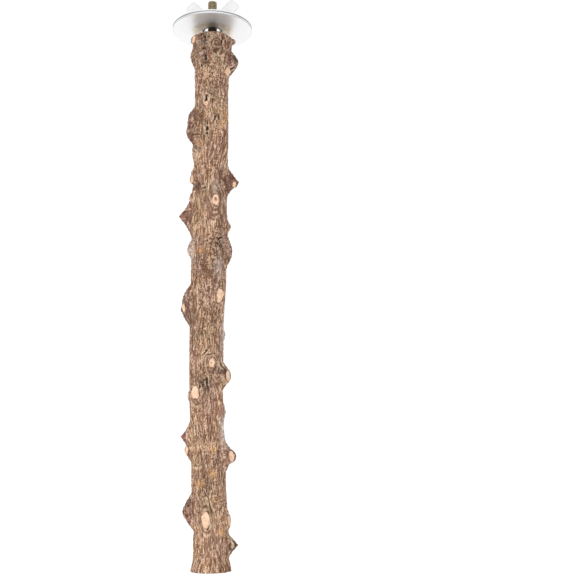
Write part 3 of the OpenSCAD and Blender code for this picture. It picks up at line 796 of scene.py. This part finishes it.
trim = Tree("trimmed twigs", Places="Geometry", Twig="Object", Seed="Int", Unevenness="Float",
            Finish="Material")
outward, upward, girth = (
    trim.add("GeometryNodeInputNamedAttribute", {"Name": name},
             data_type="FLOAT_VECTOR").outputs["Attribute"]
    for name in ("outward", "upward", "girth"))
way_up = trim.add("FunctionNodeAxesToRotation", {
    "Primary Axis": outward, "Secondary Axis": upward}, primary_axis="Z", secondary_axis="Y")
sawn = trim.add("GeometryNodeObjectInfo", {"Object": trim.given["Twig"]})
placed = trim.add("GeometryNodeInstanceOnPoints", {
    "Points": trim.given["Places"], "Instance": sawn.outputs["Geometry"],
    "Rotation": way_up, "Scale": girth})
tones = trim.add("FunctionNodeRandomValue", {"Seed": trim.given["Seed"]}, data_type="FLOAT")
toned = trim.add("GeometryNodeStoreNamedAttribute", {
    "Geometry": placed, "Name": "tone", "Value": tones.outputs[1],
}, data_type="FLOAT", domain="INSTANCE")
solid = trim.add("GeometryNodeRealizeInstances", {"Geometry": toned})
# Each outline is made a little uneven, mostly sideways so that the sawn faces stay nearly flat
shift = trim.wandering(trim.here, 330.0, 1.0, trim.given["Unevenness"])
rising = trim.vector("SCALE", trim.vector("PROJECT", shift, outward), scale=0.7)
trim.end(trim.add("GeometryNodeSetPosition", {
    "Geometry": solid, "Offset": trim.vector("SUBTRACT", shift, rising)}))

twig_mesh = trim.made("cut_twigs", places, Twig=one_twig, Seed=5, Unevenness=TWIG_UNEVENNESS,
                      Finish=twig_wood.material)
bpy.data.objects.remove(one_twig)
twigs = add_piece("cut_twigs", twig_mesh, twig_wood)
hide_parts("twig_stubs")
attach(twigs, "branch")

# The hanger bolt: one steel rod in yellow zinc plate, with a wood screw rolled on the end that is
# in the branch and a machine thread on the end that carries the washers and the nut.
STUD_RADIUS, STUD_OUT, STUD_PITCH = 0.0029, 0.025, 0.001
STUD_DEPTH = 0.613 * STUD_PITCH
SCREW_RADIUS, SCREW_PITCH, SCREW_DEPTH, SCREW_TIP = 0.0025, 0.0024, 0.0007, 0.006
BOLT_IN, SHANK_IN = 0.032, 0.005
STUD_FROM, STUD_TO = 0.0002, STUD_OUT + 0.001  # where each thread starts and ends on Y
SCREW_FROM, SCREW_TO = -BOLT_IN + 0.001, -SHANK_IN - 0.003
THREAD_RUNOUT = 0.0008
ROD_SIDES, STUD_STEP, SCREW_STEP = 48, 0.000125, 0.0003  # fine enough to cut threads in

die = Tree("rolled thread", Rod="Geometry", Pitch="Float", Depth="Float", Start="Float",
           End="Float", Finish="Material")
x, y, z = die.parts(die.here)
angle = die.reckon("DIVIDE", die.reckon("ARCTAN2", z, x), 2 * math.pi)
climb = die.reckon("ADD", die.reckon("DIVIDE", y, die.given["Pitch"]), angle)
phase = die.reckon("FRACT", die.reckon("ADD", climb, 100.0))
slope = die.reckon("ABSOLUTE", die.reckon("MULTIPLY_ADD", phase, 2.0, -1.0))
flank = die.spanned(slope, 0.12, 0.85, 0.0, 1.0)
after, before = (
    die.reckon("DIVIDE", die.reckon("SUBTRACT", a, b), THREAD_RUNOUT)
    for a, b in ((y, die.given["Start"]), (die.given["End"], y)))
kept = die.reckon("MINIMUM", after, before, clamped=True)
inward = die.times(die.times(flank, die.given["Depth"]), die.times(kept, -1.0))
spoke = die.vector("NORMALIZE", die.add("ShaderNodeCombineXYZ", {"X": x, "Z": z}))
die.end(die.add("GeometryNodeSetPosition", {
    "Geometry": die.given["Rod"], "Offset": die.vector("SCALE", spoke, scale=inward)}))

yellow = Finish("worn yellow zinc")
patina = yellow.speckle(500.0, 4.0, 0.6)
grime = yellow.speckle(900.0, 2.0, place=yellow.stretched((1, 4, 1)))
off_wood = yellow.parts(yellow.place)["Y"]
off_axis = yellow.vector("LENGTH", yellow.stretched((1, 0, 1)))
in_thread = yellow.times(
    yellow.spanned(off_axis, STUD_RADIUS - 0.0005, STUD_RADIUS - 0.00005, 0.9, 0.0),
    yellow.reckon("LESS_THAN", off_wood, STUD_OUT - 0.0008))
# Painted shade: the stud is made nearly black from the wood to 5 mm out, fading by 8.5 mm, for the
# shade in the gap between the sawn end and the washers.
painted_stud_shade = yellow.spanned(off_wood, 0.005, 0.0085, 0.92, 0.0, eased=True)
bolt_colour = yellow.layered(
    (0.6, 0.5, 0.34),
    ((patina, (0.35, 0.0), (0.65, 1.0)), (0.46, 0.4, 0.29)),
    ((grime, (0.5, 0.0), (0.75, 0.6)), (0.3, 0.25, 0.17)),
    (in_thread, (0.16, 0.12, 0.07)),
    (painted_stud_shade, (0.02, 0.017, 0.014)))
yellow.bumped((patina, 0.00004))
yellow.set(Base_Color=bolt_colour, Metallic=1.0,
           Roughness=yellow.ramp(patina, (0.3, 0.34), (0.7, 0.5)))

# The rod before its threads are rolled, from its tip in the wood outwards: radius, then place on Y
rod = [(0.0, -BOLT_IN)]
rod += [(SCREW_RADIUS * min(1.0, (place + BOLT_IN) / SCREW_TIP + 0.02), place)
        for place in np.arange(-BOLT_IN + 0.0002, -SHANK_IN, SCREW_STEP)]
rod += [(SCREW_RADIUS, -SHANK_IN), (STUD_RADIUS, -SHANK_IN)]
rod += [(STUD_RADIUS, place)
        for place in np.arange(-SHANK_IN + 0.0002, STUD_OUT - STUD_DEPTH, STUD_STEP)]
rod += [(STUD_RADIUS - STUD_DEPTH * step, STUD_OUT - STUD_DEPTH * (1 - step))
        for step in (0.0, 0.5, 1.0)]
rod += [(STUD_RADIUS - 1.6 * STUD_DEPTH, STUD_OUT - 0.00005), (0.0, STUD_OUT - 0.00005)]
rod_mesh = closed_tube("rod", turned_rings(rod, ROD_SIDES)[:, :, [0, 2, 1]])
screw_mesh = die.made("screw_cut", rod_mesh, Pitch=SCREW_PITCH, Depth=SCREW_DEPTH,
                      Start=SCREW_FROM, End=SCREW_TO, Finish=yellow.material)
bolt_mesh = die.made("threaded_bolt", screw_mesh, Pitch=STUD_PITCH, Depth=STUD_DEPTH,
                     Start=STUD_FROM, End=STUD_TO, Finish=yellow.material)
bolt_mesh.shade_smooth()
bolt = add_piece("threaded_bolt", bolt_mesh, yellow)
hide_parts("hanger_bolt")
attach(bolt, "branch")

# The two wide washers: blanked from sheet steel and tumbled in bright zinc plate. They hang by
# their holes on the stud, and their faces are smooth enough to show a blurred branch.
WASHER_RADIUS, WASHER_DROP = 0.025, 0.00202
SEAM_LEVEL = 0.0072  # where the two washers meet
UNDERSIDE = SEAM_LEVEL - 0.001  # lower than this is the inner washer's face towards the wood
REFLECTION_FROM, REFLECTION_TO = 0.0125, 0.0165  # from where to where the painted reflection of the branch runs out
HOLE_SHADE_FROM, HOLE_SHADE_TO = 0.0058, 0.0066

bright = Finish("bright zinc plate")
cloudy = bright.speckle(90.0)
tumbled = bright.speckle(2600.0, 2.0)
scuffs = bright.speckle(1500.0, 2.0, place=bright.stretched((1, 1, 0.08), (0, 0.6, 0)))
spotted = bright.speckle(420.0, 2.0, place=bright.stretched((1, 1, 0.6)))
level = bright.parts(bright.place)["Y"]
out = bright.vector("LENGTH", bright.stretched((1, 0, 1), centre=(0, 0, WASHER_DROP)))
under = bright.reckon("LESS_THAN", level, UNDERSIDE)
at_rim = bright.reckon("GREATER_THAN", out, WASHER_RADIUS - 0.0002)
# Painted shade: a dark line round the rims where the two washers meet.
off_seam_mm = bright.times(bright.reckon(
    "ABSOLUTE", bright.reckon("SUBTRACT", level, SEAM_LEVEL)), 1000.0)
painted_seam_shade = bright.times(at_rim, bright.ramp(off_seam_mm, (0.2, 0.9), (0.42, 0.0)))
burr = bright.times(at_rim, bright.reckon("LESS_THAN", level, UNDERSIDE + 0.00002))
# Painted reflection: the inner washer's face towards the wood is tinted with the dull, mottled
# colours of the branch out to about 12.5 to 16.5 mm, for a blurred reflection of its sawn end and
# bark.
painted_branch_reflection = bright.times(bright.spanned(
    bright.reckon("MULTIPLY_ADD", cloudy, 0.004, out), REFLECTION_FROM, REFLECTION_TO, 0.85, 0.0,
    eased=True), under)
# Painted shade: a nearly black ring round the hole on the inner washer's face towards the wood.
painted_hole_shade = bright.times(bright.spanned(out, HOLE_SHADE_FROM, HOLE_SHADE_TO, 0.95, 0.0), under)
branch_reflection_colour = bright.layered(
    (0.6, 0.53, 0.42), ((spotted, (0.5, 0.0), (0.62, 1.0)), (0.88, 0.7, 0.48)))
washer_colour = bright.layered(
    (0.9, 0.905, 0.91),
    ((cloudy, (0.35, 0.0), (0.7, 1.0)), (0.87, 0.875, 0.88)),
    (painted_branch_reflection, branch_reflection_colour),
    (painted_hole_shade, (0.03, 0.03, 0.028)),
    (painted_seam_shade, (0.03, 0.03, 0.035)),
    (bright.times(burr, 0.6), (0.2, 0.2, 0.21)))
bright.bumped((tumbled, 0.000006), (scuffs, 0.000008))
bright.set(Base_Color=washer_colour, Metallic=0.78,
           Roughness=bright.ramp(scuffs, (0.3, 0.36), (0.7, 0.46)))
for name in ("inner_washer", "outer_washer"):
    coat(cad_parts[name].data, bright)

# The wing nut: cast and then tumbled in bright zinc, so its two leaning wings run into the hub
# with soft fillets and every edge is rounded.
NUT_SEAT = 0.0084
HUB_HEIGHT, HUB_RADIUS, HUB_TOP_RADIUS, HUB_EDGE = 0.008, 0.0052, 0.0046, 0.0008
NUT_HEIGHT, WING_SPAN, WING_WIDTH = 0.017, 0.034, 0.008
WING_TIP_THICKNESS, WING_ROOT_THICKNESS = 0.0018, 0.0032
WING_CORNER = 0.0018
WING_FLATS = 0.35, 0.6  # how the wing's section fills its width and thickness: 1 is an ellipse
WING_RINGS, WING_SIDES, HUB_SIDES = 28, 32, 64
WING_LEAN = math.radians(45)
NUT_TURNED = math.radians(10)
BORE_RADIUS, DRILL_LENGTH = 0.00295, 0.03
CAST_GRAIN = 0.00026

nut = bmesh.new()
nut.from_mesh(closed_tube("hub", turned_rings([
    (0.0, 0.0), (HUB_RADIUS - HUB_EDGE / 2, 0.0), (HUB_RADIUS, 0.0005),
    (HUB_TOP_RADIUS, HUB_HEIGHT - HUB_EDGE), (HUB_TOP_RADIUS - HUB_EDGE, HUB_HEIGHT),
    (0.0, HUB_HEIGHT)], HUB_SIDES)))
flat = WING_WIDTH - 2 * WING_CORNER
tip_x = (WING_SPAN / 2 - flat / 2 * math.cos(WING_LEAN)
         - WING_CORNER * (1 - math.sin(WING_LEAN)))
tip_z = NUT_HEIGHT - flat / 2 * math.sin(WING_LEAN) - WING_CORNER * (1 - math.cos(WING_LEAN))
run = (tip_x - HUB_TOP_RADIUS / 2) / math.sin(WING_LEAN)
rings = []
for step in np.linspace(0, 1, WING_RINGS):
    down = run * (1 - step)
    cut_in = math.sqrt(max(0.0, WING_CORNER ** 2 - max(0.0, WING_CORNER - down) ** 2))
    half_width = WING_WIDTH / 2 - WING_CORNER + cut_in
    half_thick = (WING_ROOT_THICKNESS * (1 - step) + WING_TIP_THICKNESS * step) / 2
    loop = []
    for turn in np.arange(WING_SIDES) * 2 * math.pi / WING_SIDES:
        c, s = math.cos(turn), math.sin(turn)
        loop.append((math.copysign(abs(c) ** WING_FLATS[0], c) * half_width,
                     math.copysign(abs(s) ** WING_FLATS[1], s) * half_thick, -down))
    rings.append(loop)
rings = np.array(rings)
rings = np.concatenate([rings[:1] * (0, 0, 1), rings, rings[-1:] * (0, 0, 1)])
for side in (0, math.pi):
    wing_mesh = closed_tube("wing", rings)
    wing_mesh.transform(Matrix.Rotation(side, 4, "Z") @ Matrix.Translation((tip_x, 0, tip_z))
                        @ Matrix.Rotation(WING_LEAN, 4, "Y"))
    nut.from_mesh(wing_mesh)
rough_mesh = bpy.data.meshes.new("nut_as_cast")
nut.to_mesh(rough_mesh)
nut.free()
rough = put("nut_as_cast", rough_mesh)
fused = rough.modifiers.new("fused", "REMESH")
fused.mode, fused.voxel_size = "VOXEL", CAST_GRAIN
softened = rough.modifiers.new("softened", "SMOOTH")
softened.factor, softened.iterations = 0.5, 6
drill_mesh = bpy.data.meshes.new("drill")
bit = bmesh.new()
bmesh.ops.create_cone(bit, cap_ends=True, segments=HUB_SIDES, radius1=BORE_RADIUS,
                      radius2=BORE_RADIUS, depth=DRILL_LENGTH)
bit.to_mesh(drill_mesh)
bit.free()
drill = put("drill", drill_mesh)
bored = rough.modifiers.new("bored", "BOOLEAN")
bored.operation, bored.object, bored.solver = "DIFFERENCE", drill, "EXACT"
nut_mesh = settled(rough)
bpy.data.objects.remove(drill)
lowest = min(point.co.z for point in nut_mesh.vertices)
nut_mesh.transform(Matrix.Translation((0, NUT_SEAT, 0)) @ Matrix.Rotation(-NUT_TURNED, 4, "Y")
                   @ Matrix.Rotation(-math.pi / 2, 4, "X") @ Matrix.Translation((0, 0, -lowest)))
nut_mesh.shade_smooth()

cast = Finish("cast zinc-plated nut")
pores = cast.speckle(900.0)
worn = cast.speckle(260.0, 2.0)
nut_colour = cast.layered(
    (0.91, 0.913, 0.92), ((worn, (0.4, 0.0), (0.7, 1.0)), (0.85, 0.853, 0.86)))
cast.bumped((pores, 0.00003))
cast.set(Base_Color=nut_colour, Metallic=0.9,
         Roughness=cast.ramp(pores, (0.3, 0.28), (0.7, 0.42)))
wing_nut = add_piece("cast_nut", nut_mesh, cast)
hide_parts("wing_nut")
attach(wing_nut, "wing_nut")

# The studio: a plain pale floor well below the perch, a bright even room, and one wide soft light
# behind the camera.
FLOOR_LEVEL, FLOOR_HALF = -0.3, 9
floor_mesh = bpy.data.meshes.new("floor")
floor_mesh.from_pydata(
    [(x * FLOOR_HALF, y * FLOOR_HALF, FLOOR_LEVEL)
     for x, y in ((-1, -1), (1, -1), (1, 1), (-1, 1))], [], [(0, 1, 2, 3)])
pale = Finish("pale floor")
pale.set(Base_Color=(0.97, 0.97, 0.97), Roughness=0.9, Specular_IOR_Level=0.1)
floor = add_piece("floor", floor_mesh, pale)

world = bpy.data.worlds.new("studio")
bpy.context.scene.world = world
world.use_nodes = True
room = Nodes(world.node_tree)
upward = room.parts(room.add("ShaderNodeTexCoord").outputs["Generated"])["Z"]
walls = room.tree.nodes["Background"].inputs
room.feed(walls["Color"], (1, 1, 1))
room.feed(walls["Strength"], room.spanned(upward, 0.0, 0.75, 0.64, 0.96, eased=True))

soft_box = bpy.data.lights.new("soft_box", "AREA")
soft_box.shape, soft_box.size, soft_box.size_y = "RECTANGLE", 0.8, 0.8
soft_box.energy = 5.0
soft_light = put("soft_box", soft_box)
soft_light.location = (-0.25, -0.45, 0.9)
towards = Vector((0, -0.16, 0)) - soft_light.location
soft_light.rotation_euler = towards.to_track_quat("-Z", "Y").to_euler()

# The camera stands where the photo's did, fitted to the washers and to both sawn ends
lens = bpy.data.cameras.new("camera")
lens.sensor_width = 36.0
lens.lens = 59.85
lens.clip_start, lens.clip_end = 0.01, 50.0
camera = put("camera", lens)
camera.location = (0.0, -0.27276, 0.55957)
camera.rotation_mode = "ZXY"
camera.rotation_euler = (0.19952, -0.08091, -0.01398)
bpy.context.scene.camera = camera
bpy.context.scene.view_settings.view_transform = "Standard"
